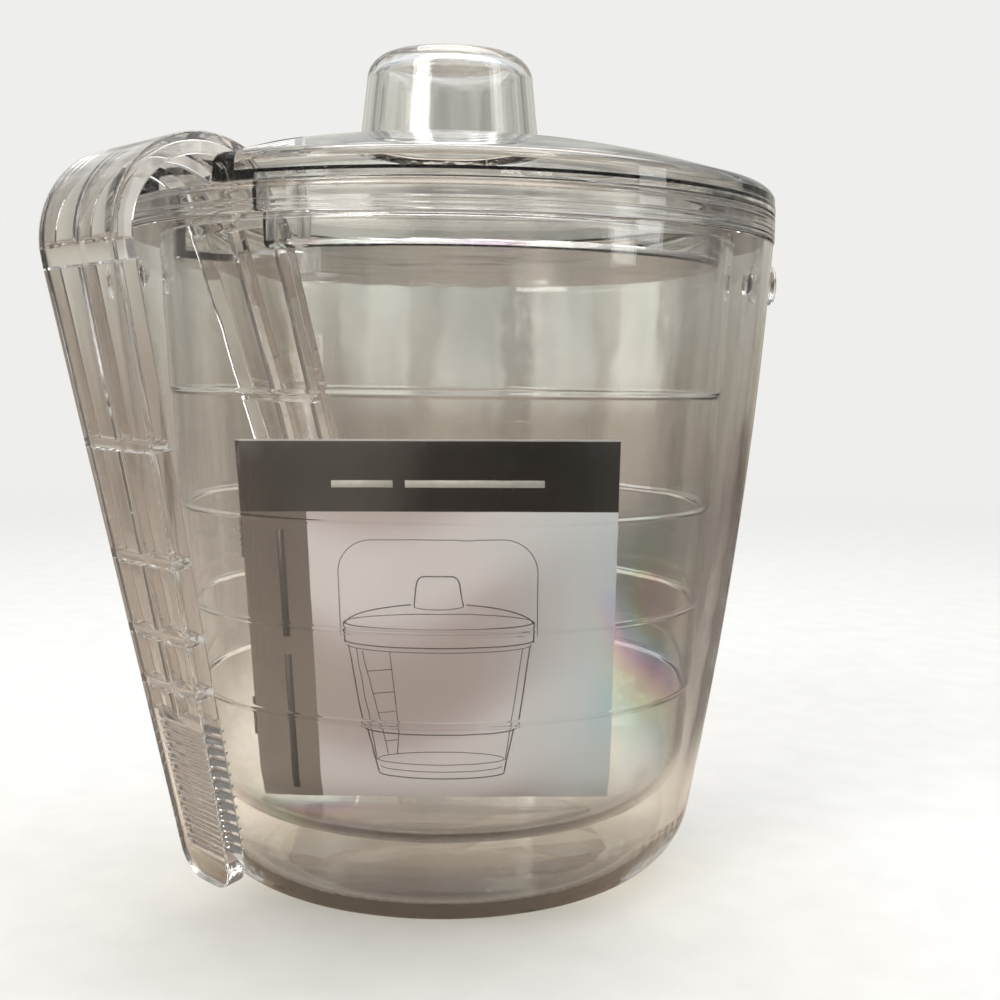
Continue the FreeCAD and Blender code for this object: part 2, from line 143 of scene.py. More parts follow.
def clear_plastic(name, stress=None, rough=0.02, tint=CLEAR_TINT):
    """Polished clear plastic: faint flow waves, hairline wear, and stress colours where a mask asks.

    stress is a function that takes the Shader and the position and gives a mask from 0 to 1.
    """
    s = new_material(name)
    place = s.position()
    flow = s.noise(place, 38.0, 2.0)
    hair = s.node("ShaderNodeMapping", Vector=place, Scale=(900.0, 900.0, 60.0)).outputs[0]
    scratch = s.stretch(s.noise(hair, 1.0, 6.0), 0.62, 0.75)
    roughness = s.stretch(scratch, 0.0, 1.0, rough, rough + 0.10)
    bump = s.node("ShaderNodeBump", Strength=0.05, Distance=0.002, Height=flow)
    shader = s.node("ShaderNodeBsdfPrincipled", Roughness=roughness, IOR=CLEAR_IOR,
                    Transmission_Weight=1.0, Normal=bump.outputs[0])
    if stress is None:
        shader.inputs["Base Color"].default_value = tint
    else:
        bands = s.math("FRACT", s.product(s.noise(place, 16.0, 1.0), 5.0))
        rainbow = s.ramp(bands, [
            (0.0, (0.62, 0.92, 0.95)), (0.25, (0.60, 0.70, 0.98)), (0.45, (0.86, 0.62, 0.93)),
            (0.65, (0.97, 0.80, 0.78)), (0.82, (0.80, 0.95, 0.72)), (1.0, (0.62, 0.92, 0.95))])
        s.feed(shader.inputs["Base Color"], s.mix(stress(s, place), tint, rainbow))
    path = s.node("ShaderNodeLightPath").outputs
    lamp = s.math("MAXIMUM", path["Is Shadow Ray"], path["Is Diffuse Ray"])
    through = s.node("ShaderNodeBsdfTransparent", Color=SHADOW_TINT)
    mix = s.node("ShaderNodeMixShader", _0=lamp, _1=shader.outputs[0], _2=through.outputs[0])
    return s.surface(mix)


def blob(s, place, centre, size):
    """A soft mask round a point: 1 at the centre, 0 at the distance of size along each axis."""
    shifted = s.node("ShaderNodeMapping", {"vector_type": "TEXTURE"},
                     Vector=place, Location=centre, Scale=size)
    return s.stretch(s.length(shifted.outputs[0]), 0.25, 1.0, 1.0, 0.0)


def liner_stress(s, place):
    """Stress colours low on the right of the liner and round its floor's corner."""
    right = blob(s, place, (0.050, -0.045, 0.075), (0.030, 0.035, 0.060))
    corner = s.product(blob(s, place, (-0.040, -0.040, 0.026), (0.035, 0.035, 0.012)), 0.8)
    patchy = s.stretch(s.noise(place, 45.0, 2.0), 0.35, 0.6, 0.25, 0.85)
    return s.product(s.math("MAXIMUM", right, corner), patchy)


def lid_stress(s, place):
    """Stress colours in two short stretches of the lid liner's lower edge."""
    left = blob(s, place, (-0.034, -0.071, 0.1775), (0.020, 0.020, 0.0025))
    right = blob(s, place, (0.012, -0.079, 0.1775), (0.018, 0.020, 0.0025))
    return s.math("MAXIMUM", left, right)


def staple_steel():
    """Drawn bright wire, with fine lines along it."""
    s = new_material("staple_steel")
    drawn = s.node("ShaderNodeMapping", Vector=s.position(), Scale=(4000.0, 4000.0, 300.0)).outputs[0]
    grain = s.noise(drawn, 1.0, 4.0)
    shader = s.node("ShaderNodeBsdfPrincipled", Base_Color=s.ramp(grain, [
        (0.3, (0.55, 0.55, 0.57)), (0.7, (0.78, 0.78, 0.79))]),
        Metallic=1.0, Roughness=s.stretch(grain, 0.3, 0.7, 0.22, 0.4))
    return s.surface(shader)


def page_paper():
    """Uncoated paper with a fine fibre."""
    s = new_material("page_paper")
    fibre = s.noise(s.position(), 900.0, 4.0)
    bump = s.node("ShaderNodeBump", Strength=0.15, Distance=0.0001, Height=fibre)
    shader = s.node("ShaderNodeBsdfPrincipled", Base_Color=s.ramp(fibre, [
        (0.3, (0.78, 0.77, 0.75)), (0.7, (0.88, 0.87, 0.85))]), Roughness=0.75, Normal=bump.outputs[0])
    return s.surface(shader)


# --- mesh helpers ---------------------------------------------------------------------------
def new_object(name, bm, material, body, standing_for=()):
    """Makes a piece from a bmesh, and gives it its material, slot and body."""
    bmesh.ops.recalc_face_normals(bm, faces=bm.faces)
    mesh = bpy.data.meshes.new(name)
    bm.to_mesh(mesh)
    bm.free()
    for polygon in mesh.polygons:
        polygon.use_smooth = True
    mesh.materials.append(material)
    piece = bpy.data.objects.new(name, mesh)
    bpy.context.scene.collection.objects.link(piece)
    if standing_for:
        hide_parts(*standing_for)
    if body:
        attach(piece, body)
    return piece


def weighted_normals(piece):
    """Shades the flats of a piece as flat and its narrow rounds as round."""
    modifier = piece.modifiers.new("weighted_normals", "WEIGHTED_NORMAL")
    modifier.keep_sharp = True
    modifier.weight = 80


def skin(bm, loops):
    """Quads between rows of points of equal length, each row a closed loop; the ends are capped."""
    rows = [[bm.verts.new(point) for point in loop] for loop in loops]
    for low, high in zip(rows, rows[1:]):
        for k in range(len(low)):
            j = (k + 1) % len(low)
            bm.faces.new((low[k], low[j], high[j], high[k]))
    bm.faces.new(rows[0][::-1])
    bm.faces.new(rows[-1])


# --- liner: a lathe with a soft step at each moulded ring and fine bands round the rim ----------
# all in mm; LINER_FOOT is the outside radius that the wall would have at the height LINER_BASE
LINER_FOOT, LINER_BASE, LINER_WALL, LINER_DRAFT = 71.6, 22.0, 2.2, 0.055
LINER_CORNER = 20.0
LINER_RINGS = (57.7, 81.4, 109.0, 140.9)
LINER_STEP, RING_RISE, RING_LEAD, RING_REACH = 0.75, 1.9, 0.6, 2.2
FINE_ROW, COARSE_ROW = 0.19, 1.5
RIM_RADIUS, RIM_BASE, RIM_TOP, RIM_EDGE = 95.0, 183.95, 191.5, 1.0
RIM_BANDS = (185.4, 186.9, 190.0)
RIM_ROWS = 60
BAND_DEEP, BAND_HALF = 0.22, 0.5
TURNS = 288


def soft(share):
    """An S-shaped rise from 0 to 1."""
    share = min(1.0, max(0.0, share))
    return share * share * (3 - 2 * share)


def liner_radius(height):
    """The liner's outside radius: a drafted wall that steps out at each ring."""
    steps = sum(soft((height - ring + RING_LEAD) / RING_RISE) for ring in LINER_RINGS)
    return LINER_FOOT + LINER_DRAFT * (height - LINER_BASE) + LINER_STEP * steps


def liner_heights(low, high):
    """Heights up the wall, close together round each ring and further apart between them."""
    heights = []
    height = low
    while height < high - 0.1:
        heights.append(height)
        near = min(abs(height - ring) for ring in LINER_RINGS)
        height += FINE_ROW if near < RING_REACH else COARSE_ROW
    return heights + [high]


def liner_profile():
    """(radius, height) from the middle of the underside, up, over the rim and down the inside."""
    draft = math.atan(LINER_DRAFT)
    centre = LINER_FOOT + LINER_DRAFT * LINER_CORNER - LINER_CORNER / math.cos(draft)
    middle = LINER_BASE + LINER_CORNER
    angles = [-math.pi / 2 + (math.pi / 2 - draft) * k / 20 for k in range(21)]
    foot = middle - LINER_CORNER * math.sin(draft)
    points = [(centre * share, LINER_BASE) for share in (0.0, 0.05, 0.35, 0.7)]
    points += [(centre + LINER_CORNER * math.cos(a), middle + LINER_CORNER * math.sin(a)) for a in angles]
    points += [(liner_radius(z), z) for z in liner_heights(foot + COARSE_ROW, RIM_BASE - 0.4)]
    wall = liner_radius(RIM_BASE)
    points += [(wall + 0.12, RIM_BASE - 0.12), (wall + 0.4, RIM_BASE), (wall + 5, RIM_BASE)]
    for k in range(7):
        angle = math.radians(-90 + 15 * k)
        points.append((RIM_RADIUS - RIM_EDGE + RIM_EDGE * math.cos(angle),
                       RIM_BASE + RIM_EDGE + RIM_EDGE * math.sin(angle)))
    for k in range(1, RIM_ROWS):
        z = RIM_BASE + RIM_EDGE + (RIM_TOP - RIM_EDGE / 2 - RIM_BASE - RIM_EDGE) * k / RIM_ROWS
        dip = sum(BAND_DEEP * soft(1 - abs(z - band) / BAND_HALF) for band in RIM_BANDS)
        points.append((RIM_RADIUS - dip, z))
    for k in range(5):
        angle = math.radians(22.5 * k)
        points.append((RIM_RADIUS - RIM_EDGE / 2 + RIM_EDGE / 2 * math.cos(angle),
                       RIM_TOP - RIM_EDGE / 2 + RIM_EDGE / 2 * math.sin(angle)))
    mouth = liner_radius(RIM_TOP) - LINER_WALL
    points += [(mouth + 6, RIM_TOP), (mouth + 0.5, RIM_TOP), (mouth + 0.15, RIM_TOP - 0.15)]
    heights = liner_heights(foot + COARSE_ROW, RIM_TOP - 0.5)
    points += [(liner_radius(z) - LINER_WALL, z) for z in heights[::-1]]
    inner = LINER_CORNER - LINER_WALL
    points += [(centre + inner * math.cos(a), middle + inner * math.sin(a)) for a in angles[::-1]]
    points += [(centre * share, LINER_BASE + LINER_WALL) for share in (0.7, 0.35, 0.05, 0.0)]
    return points


def turn(bm, profile):
    """A lathed skin; the first and last points of the profile are on the axis."""
    rows = []
    for radius, height in profile[1:-1]:
        rows.append([bm.verts.new(Vector((radius * math.cos(math.tau * k / TURNS),
                                          radius * math.sin(math.tau * k / TURNS), height)) * MM)
                     for k in range(TURNS)])
    poles = [bm.verts.new(Vector((0, 0, height)) * MM) for radius, height in (profile[0], profile[-1])]
    for k in range(TURNS):
        j = (k + 1) % TURNS
        bm.faces.new((poles[0], rows[0][j], rows[0][k]))
        bm.faces.new((poles[1], rows[-1][k], rows[-1][j]))
        for low, high in zip(rows, rows[1:]):
            bm.faces.new((low[k], low[j], high[j], high[k]))


def build_liner():
    bm = bmesh.new()
    turn(bm, liner_profile())
    material = clear_plastic("clear_liner_plastic", stress=liner_stress)
    weighted_normals(new_object("moulded_liner", bm, material, "bucket", ("inner_liner",)))


# --- tongs: one moulding from tip to tip, which bends at the bow ------------------------------
TONGS_AZIMUTH = math.radians(219.8)
TONGS_OUT = Vector((math.cos(TONGS_AZIMUTH), math.sin(TONGS_AZIMUTH), 0))
TONGS_ACROSS = Vector((-TONGS_OUT.y, TONGS_OUT.x, 0))
BOW_OUT, BOW_UP, BOW_RADIUS = 93.0, 179.0, 25.0
OUTER_TILT, INNER_TILT = math.radians(12.2), math.radians(17.5)
BOW_LENGTH = BOW_RADIUS * (math.pi + OUTER_TILT - INNER_TILT)
ARM_LENGTH = 168.1
ARM_DEPTH, WEB, EDGE, SPINE = 5.5, 2.0, 1.9, 1.3
HALF_TOP, HALF_TIP, TIP_ROUND = 20.2, 11.9, 7.5
RIBS = (120.6, 90.5, 69.9, 55.5)
RIB_WIDTH = 2.2
GRIP_START, TOOTH_PITCH, TOOTH_HEIGHT, TOOTH_COUNT = 46.5, 3.13, 1.9, 12
FILLET, CORNER, LIP = 0.35, 0.8, 0.5
BAY_END = ((0.0, 0.0), (0.4, 0.12), (1.0, 0.9), (1.5, 1.0))
TOOTH_SHAPE = ((0.06, 0.0), (0.2, 0.45), (0.42, 0.93), (0.5, 1.0), (0.58, 0.93), (0.8, 0.45))
BOW_ROWS = 44


def tongs_point(along, across, depth):
    """A point of the tongs: along its outside line from the outer tip, across it, and in from that line."""
    if along <= ARM_LENGTH:
        rest = along - ARM_LENGTH
        angle = -OUTER_TILT
        out = BOW_OUT + BOW_RADIUS * math.cos(angle) + rest * math.sin(OUTER_TILT)
        up = BOW_UP + BOW_RADIUS * math.sin(angle) + rest * math.cos(OUTER_TILT)
    else:
        angle = -OUTER_TILT + min(along - ARM_LENGTH, BOW_LENGTH) / BOW_RADIUS
        rest = max(0.0, along - ARM_LENGTH - BOW_LENGTH)
        out = BOW_OUT + BOW_RADIUS * math.cos(angle) - rest * math.sin(INNER_TILT)
        up = BOW_UP + BOW_RADIUS * math.sin(angle) - rest * math.cos(INNER_TILT)
    out -= depth * math.cos(angle)
    up -= depth * math.sin(angle)
    return (TONGS_OUT * out + TONGS_ACROSS * across + Vector((0, 0, up))) * MM


def half_width(distance):
    """Half the width of an arm at a distance from its round tip."""
    full = HALF_TIP + (HALF_TOP - HALF_TIP) * distance / ARM_LENGTH
    if distance >= TIP_ROUND:
        return full
    return full - TIP_ROUND + math.sqrt(TIP_ROUND ** 2 - (TIP_ROUND - distance) ** 2)


def bay_start(low, width=None):
    """Stations where a bay opens, going up from low."""
    width = width or half_width(low)
    return [(low + share * FILLET, width, opened, 0.0) for share, opened in BAY_END]


def bay_stop(high, width=None):
    """Stations where a bay closes, going up to high."""
    width = width or half_width(high)
    return [(high - share * FILLET, width, opened, 0.0) for share, opened in BAY_END[::-1]]


def arm_stations():
    """(distance from the tip, half width, how open the bay is, tooth height) down one arm, tip first."""
    rows = []
    for step in range(9):
        distance = TIP_ROUND * (1 - math.cos(math.radians(10 * step)))
        rows.append((distance, half_width(distance), 0.0, 0.0))
    start = GRIP_START - 1.0
    foot = start - TOOTH_COUNT * TOOTH_PITCH
    for tooth in range(TOOTH_COUNT):
        for share, height in TOOTH_SHAPE:
            distance = foot + (tooth + share) * TOOTH_PITCH
            rows.append((distance, half_width(distance), 0.0, height * TOOTH_HEIGHT))
    rows.append((start, half_width(start), 0.0, 0.0))
    edges = [GRIP_START + RIB_WIDTH / 2]
    for rib in RIBS[::-1]:
        edges += [rib - RIB_WIDTH / 2, rib + RIB_WIDTH / 2]
    edges.append(ARM_LENGTH - RIB_WIDTH)
    for low, high in zip(edges[::2], edges[1::2]):
        rows += bay_start(low)
        for share in (0.25, 0.5, 0.75):
            middle = low + (high - low) * share
            rows.append((middle, half_width(middle), 1.0, 0.0))
        rows += bay_stop(high)
    return rows


def tongs_stations():
    """All stations from the outer tip to the inner tip, as distances along the outside line."""
    arm = arm_stations()
    start, end = ARM_LENGTH + 3.0, ARM_LENGTH + BOW_LENGTH - 2.8
    rows = arm + bay_start(start, HALF_TOP)
    for step in range(1, BOW_ROWS):
        rows.append((start + (end - start) * step / BOW_ROWS, HALF_TOP, 1.0, 0.0))
    rows += bay_stop(end, HALF_TOP)
    whole = 2 * ARM_LENGTH + BOW_LENGTH
    rows += [(whole - distance, width, opened, tooth) for distance, width, opened, tooth in arm[::-1]]
    return rows


def tongs_loop(station):
    """The closed section at one station: outside face, rounded edges, flanges, bays, spine and teeth."""
    along, width, opened, tooth = station
    floor = ARM_DEPTH - (ARM_DEPTH - WEB) * opened
    squeeze = min(1.0, width / HALF_TIP)
    inner = width - EDGE * squeeze
    spine = SPINE * squeeze
    crest = ARM_DEPTH + tooth
    bed = floor + tooth
    side = []
    for step in range(4):
        angle = math.radians(30 * step)
        side.append((width - CORNER + CORNER * math.sin(angle), CORNER - CORNER * math.cos(angle)))
    for step in range(4):
        angle = math.radians(30 * step)
        side.append((width - LIP + LIP * math.cos(angle), ARM_DEPTH - LIP + LIP * math.sin(angle)))
    side += [
        (inner + FILLET, ARM_DEPTH),
        (inner, ARM_DEPTH - 0.15 * opened),
        (inner - 0.25, floor + 0.3 * opened + 0.9 * tooth),
        (inner - 0.6, bed),
        ((inner + spine) / 2, bed),
        (spine + 0.6, bed),
        (spine + 0.25, bed + 0.3 * opened),
        (spine, crest - 0.15 * opened),
        (spine - FILLET, crest),
    ]
    other = [(-across, depth) for across, depth in side[::-1]]
    return [tongs_point(along, across, depth) for across, depth in side + other]


def build_tongs(material):
    bm = bmesh.new()
    skin(bm, [tongs_loop(station) for station in tongs_stations()])
    piece = new_object("tongs", bm, material, None,
                       ("tongs_bow", "tongs_outer_arm", "tongs_inner_arm"))
    outer_top = tongs_point(ARM_LENGTH, 0, ARM_DEPTH)
    inner_top = tongs_point(ARM_LENGTH + BOW_LENGTH, 0, ARM_DEPTH)
    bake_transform(piece)
    weighted_normals(piece)


# --- leaflet: folded cover with its print, fanned pages and staples ---------------------------
LEAFLET_WIDTH, LEAFLET_HEIGHT = 98.0, 107.5
LEAFLET_FOOT = (-2.5, -27.2, 25.8)
LEAFLET_TURN = tuple(math.radians(a) for a in (15.8, -0.6, -2.5))
COVER_THICK, PAGES_THICK, COVER_GAP = 0.35, 1.1, 0.02
SPINE_ROUND = 1.2
HEADER, SIDE_BAND = 19.5, 17.0
PAGE_SHEETS = 5


def leaflet_matrix():
    lean, roll, turn = LEAFLET_TURN
    rotation = Matrix.Rotation(turn, 4, "Z") @ Matrix.Rotation(lean, 4, "X") @ Matrix.Rotation(roll, 4, "Y")
    return Matrix.Translation(Vector(LEAFLET_FOOT)) @ rotation


def leaflet_point(across, depth, up):
    """across from the spine edge, depth from the middle (minus is the front), up from the foot."""
    return (leaflet_matrix() @ Vector((across - LEAFLET_WIDTH / 2, depth, up))) * MM


def leaflet_place(s):
    """The leaflet's own coordinates in metres, in a material: across from the spine, up from the foot."""
    back = leaflet_matrix().inverted()
    euler = back.to_euler()
    origin = back @ Vector((0, 0, 0))
    turned = s.node("ShaderNodeMapping", Vector=s.position(), Rotation=tuple(euler),
                    Location=((origin.x + LEAFLET_WIDTH / 2) * MM, origin.y * MM, origin.z * MM))
    return turned.outputs[0]


def cover_paper():
    """Coated cover: charcoal header, brown side band, pale lilac field with soft pale sweeps in the print,
    and a painted bluish highlight over the right of the field.
    """
    s = new_material("cover_paper")
    place = leaflet_place(s)
    across, depth, up = s.split(place)
    wander = s.product(s.math("SINE", s.product(across, 46.0)), 1.5)
    sweep = s.math("SINE", s.math("ADD", s.product(up, 95.0), wander))
    field = s.ramp(s.stretch(sweep, -1.0, 1.0), [
        (0.0, (0.60, 0.51, 0.52)), (0.55, (0.75, 0.67, 0.71)), (1.0, (0.94, 0.91, 0.97))])
    # painted highlight: towards its right edge the field is mixed up to 75% with pale blue, a bluish
    # highlight painted into the cover's colour
    bluish_painted_highlight = s.stretch(across, 0.055, 0.095, 0.0, 0.75)
    field = s.mix(bluish_painted_highlight, field, (0.80, 0.90, 1.0, 1))
    band = s.ramp(s.stretch(up, 0.0, (LEAFLET_HEIGHT - HEADER) * MM), [
        (0.0, (0.34, 0.29, 0.27)), (0.6, (0.26, 0.215, 0.195)), (1.0, (0.20, 0.165, 0.15))])
    in_band = s.math("LESS_THAN", across, SIDE_BAND * MM)
    in_header = s.math("GREATER_THAN", up, (LEAFLET_HEIGHT - HEADER) * MM)
    header = s.ramp(s.stretch(across, 0.0, LEAFLET_WIDTH * MM), [
        (0.0, (0.024, 0.020, 0.017)), (0.45, (0.015, 0.013, 0.012)), (1.0, (0.010, 0.010, 0.010))])
    front = s.math("LESS_THAN", depth, 0.0)
    # the print, carrying the painted bluish highlight in its field
    print_and_painted_highlight = s.mix(in_header, s.mix(in_band, field, band), header)
    colour = s.mix(front, (0.66, 0.65, 0.67, 1), print_and_painted_highlight)
    fibre = s.noise(place, 1400.0, 3.0)
    bump = s.node("ShaderNodeBump", Strength=0.06, Distance=0.0001, Height=fibre)
    roughness = s.stretch(s.noise(place, 60.0, 2.0), 0.3, 0.7, 0.30, 0.42)
    shader = s.node("ShaderNodeBsdfPrincipled", Base_Color=colour, Roughness=roughness,
                    Normal=bump.outputs[0], Coat_Weight=0.25, Coat_Roughness=0.15)
    return s.surface(shader)


def ink(name, colour):
    """Printing ink, slightly uneven."""
    s = new_material(name)
    patch = s.noise(s.position(), 700.0, 3.0)
    dark = tuple(c * 0.85 for c in colour)
    uneven = s.ramp(patch, [(0.3, dark), (0.7, colour)])
    return s.surface(s.node("ShaderNodeBsdfPrincipled", Base_Color=uneven, Roughness=0.4))


def cover_loops():
    """Closed outlines, foot to top, of the folded cover: front leaf, round spine and back leaf."""
    inside = PAGES_THICK / 2 + COVER_GAP
    outside = inside + COVER_THICK
    outer, inner = [], []
    columns = [SPINE_ROUND + (LEAFLET_WIDTH - SPINE_ROUND) * k / 10 for k in range(11)]
    for across in columns[::-1]:
        outer.append((across, -outside))
        inner.append((across, -inside))
    for k in range(1, 8):
        angle = math.pi * (k / 8)
        reach = math.sin(angle)
        outer.append((SPINE_ROUND - SPINE_ROUND * reach, -outside * math.cos(angle)))
        inner.append((SPINE_ROUND - (SPINE_ROUND - COVER_THICK) * reach, -inside * math.cos(angle)))
    for across in columns:
        outer.append((across, outside))
        inner.append((across, inside))
    rows = 12
    return [[leaflet_point(a, d, LEAFLET_HEIGHT * row / rows) for a, d in outer + inner[::-1]]
            for row in range(rows + 1)]


def build_leaflet():
    bm = bmesh.new()
    skin(bm, cover_loops())
    cover = new_object("leaflet_folded_cover", bm, cover_paper(), "leaflet",
                       ("leaflet_cover",))
    weighted_normals(cover)
    bm = bmesh.new()
    pitch = PAGES_THICK / PAGE_SHEETS
    half = pitch * 0.42
    for sheet in range(PAGE_SHEETS):
        middle = -PAGES_THICK / 2 + pitch * (sheet + 0.5)
        near, far = 0.9, LEAFLET_WIDTH - SPINE_ROUND - 0.25 * abs(sheet - 2)
        corners = [(near, middle - half), (far, middle - half), (far, middle + half), (near, middle + half)]
        skin(bm, [[leaflet_point(a, d, up) for a, d in corners]
                  for up in (0.4, LEAFLET_HEIGHT * 0.35, LEAFLET_HEIGHT * 0.7, LEAFLET_HEIGHT - 0.4)])
    pages = new_object("leaflet_sheets", bm, page_paper(), "leaflet", ("leaflet_pages",))
    for polygon in pages.data.polygons:
        polygon.use_smooth = False


# --- the print on the leaflet: thin ink laid on the cover ------------------------------------
INK_THICK, INK_GAP = 0.03, 0.002
FINE_LINE, BOLD_LINE = 0.22, 0.34
DRAWING_MIDDLE = 51.0
INK_OUT = -(PAGES_THICK / 2 + COVER_GAP + COVER_THICK)


def ink_strip(bm, points, width):
    """A flat line of ink along points (across, up) on the cover's front."""
    loops = []
    for k, (across, up) in enumerate(points):
        ahead = points[min(k + 1, len(points) - 1)]
        behind = points[max(k - 1, 0)]
        run = Vector((ahead[0] - behind[0], ahead[1] - behind[1])).normalized()
        side = Vector((-run.y, run.x)) * width / 2
        front, back = INK_OUT - INK_THICK, INK_OUT - INK_GAP
        loops.append([
            leaflet_point(across - side.x, front, up - side.y),
            leaflet_point(across + side.x, front, up + side.y),
            leaflet_point(across + side.x, back, up + side.y),
            leaflet_point(across - side.x, back, up - side.y),
        ])
    skin(bm, loops)


def arc(centre, radii, start, end, steps=24):
    """Points along part of an ellipse, angles in degrees."""
    points = []
    for k in range(steps + 1):
        angle = math.radians(start + (end - start) * k / steps)
        points.append((centre[0] + radii[0] * math.cos(angle), centre[1] + radii[1] * math.sin(angle)))
    return points


def build_drawing(bm):
    """A generic line drawing of a lidded bucket with its bail handle, in mm on the cover."""
    x = DRAWING_MIDDLE
    handle = [(x - 26.5, 52.0), (x - 26.5, 70.0)] + arc((x - 17.5, 70.5), (9, 9.5), 175, 90, 10)
    handle += arc((x + 17.5, 70.5), (9, 9.5), 90, 5, 10) + [(x + 26.5, 70.0), (x + 26.5, 52.0)]
    knob = [(x - 6.6, 60.5), (x - 5.6, 67.0)] + arc((x - 3.4, 67.4), (2.0, 2.0), 170, 90, 6)
    knob += arc((x + 3.4, 67.4), (2.0, 2.0), 90, 10, 6) + [(x + 5.6, 67.0), (x + 6.6, 60.5)]
    ink_strip(bm, handle, FINE_LINE)
    ink_strip(bm, knob, BOLD_LINE)
    ink_strip(bm, arc((x, 60.5), (6.6, 0.9), 180, 360, 14), FINE_LINE)
    ink_strip(bm, [(x - 25.5, 56.0)] + arc((x, 55.0), (25.5, 6.3), 176, 107, 12), BOLD_LINE)
    ink_strip(bm, arc((x, 55.0), (25.5, 6.3), 73, 4, 12), BOLD_LINE)
    for height, radii, width in ((56.0, (25.5, 2.6), BOLD_LINE), (54.4, (25.9, 2.6), FINE_LINE),
                                 (50.6, (25.6, 2.7), BOLD_LINE), (49.2, (25.0, 2.7), FINE_LINE)):
        ink_strip(bm, arc((x, height), radii, 180, 360, 30), width)
    ink_strip(bm, arc((x, 56.0), (25.5, 2.3), 180, 0, 30), FINE_LINE)
    for sign in (-1, 1):
        foot = [(21.7, 25.6), (20.9, 23.6), (20.2, 23.0), (17.6, 9.4)]
        for points, width in (([(25.7, 56.0), (25.5, 49.8)], BOLD_LINE),
                              ([(24.6, 49.0), (21.7, 26.0)], BOLD_LINE),
                              (foot, BOLD_LINE),
                              ([(22.6, 48.0), (17.9, 13.0)], FINE_LINE)):
            ink_strip(bm, [(x + sign * across, up) for across, up in points], width)
    for height, radii, width in ((25.0, (21.8, 2.5), FINE_LINE), (23.4, (20.8, 2.5), BOLD_LINE),
                                 (9.2, (17.6, 2.4), BOLD_LINE), (11.2, (16.9, 2.2), FINE_LINE),
                                 (13.4, (17.6, 2.1), FINE_LINE)):
        ink_strip(bm, arc((x, height), radii, 180, 360, 26), width)
    ink_strip(bm, arc((x, 13.4), (17.6, 2.1), 180, 0, 20), FINE_LINE)
    ink_strip(bm, [(x - 21.0, 47.2), (x - 16.0, 22.0), (x - 14.8, 15.0)], FINE_LINE)
    ink_strip(bm, [(x - 13.5, 47.0), (x - 11.6, 22.0), (x - 12.2, 15.0)], FINE_LINE)
    for height in (41.0, 34.0, 28.0, 23.0, 19.0):
        share = (47.2 - height) / 32.2
        rung = [(x - 21.0 + 6.2 * share, height), (x - 13.5 + 1.6 * share, height + 0.5)]
        ink_strip(bm, rung, FINE_LINE)


def build_print():
    """The drawing, and bars in place of words."""
    drawing = bmesh.new()
    build_drawing(drawing)
    title = bmesh.new()
    for start, end in ((23.8, 39.7), (42.8, 79.0)):
        ink_strip(title, [(start, 95.8), (end, 95.8)], 2.0)
    side = bmesh.new()
    for start, end in ((3.0, 46.0), (51.5, 83.0)):
        ink_strip(side, [(10.0, start), (10.0, end)], 1.9)
    for name, bm, ink_name, colour in (
            ("leaflet_drawing", drawing, "drawing_ink", (0.13, 0.12, 0.13)),
            ("leaflet_title_bars", title, "title_ink", (0.72, 0.71, 0.69)),
            ("leaflet_side_bars", side, "side_ink", (0.085, 0.075, 0.07))):
        new_object(name, bm, ink(ink_name, colour), "leaflet")


# --- stage, light and camera -------------------------------------------------------------------
PALE = (0.86, 0.855, 0.84)
DARK_BROWN = (0.05, 0.03, 0.02, 1)
FLOOR_RADIUS = 3.0


def floor():
    """A pale floor that fades into the backdrop's own colour, so there is no horizon.

    Rays that the plastic has bent or mirrored meet it as a warm table top, darker towards the front.
    """
    bm = bmesh.new()
    bmesh.ops.create_circle(bm, cap_ends=True, segments=96, radius=FLOOR_RADIUS)
    mesh = bpy.data.meshes.new("floor")
    bm.to_mesh(mesh)
    bm.free()
    s = new_material("floor_paint")
    place = s.position()
    speck = s.noise(place, 60.0, 3.0)
    pale = s.ramp(speck, [(0.3, (0.76, 0.755, 0.74)), (0.7, (0.80, 0.795, 0.78))])
    across, ahead, up = s.split(place)
    table = s.ramp(s.stretch(ahead, -0.13, 0.12), [
        (0.0, (0.08, 0.06, 0.045)), (0.35, (0.18, 0.14, 0.11)), (0.75, (0.86, 0.74, 0.61)),
        (1.0, (0.86, 0.77, 0.66))])
    table = s.mix(s.stretch(across, 0.07, 0.16, 0.0, 0.9), table, DARK_BROWN)
    table = s.mix(s.stretch(across, -0.08, -0.15, 0.0, 0.85), table, (0.26, 0.21, 0.17, 1))
    rays = s.node("ShaderNodeLightPath").outputs
    direct = s.math("MAXIMUM", rays["Is Camera Ray"], rays["Is Diffuse Ray"])
    paint = s.node("ShaderNodeBsdfPrincipled", Roughness=0.7, Base_Color=s.mix(direct, table, pale))
    clear = s.node("ShaderNodeBsdfTransparent")
    fade = s.stretch(s.length(place), 0.35, 1.6)
    faded = s.node("ShaderNodeMixShader", _0=fade, _1=paint.outputs[0], _2=clear.outputs[0])
    mesh.materials.append(s.surface(faded))
    obj = bpy.data.objects.new("floor", mesh)
    bpy.context.scene.collection.objects.link(obj)


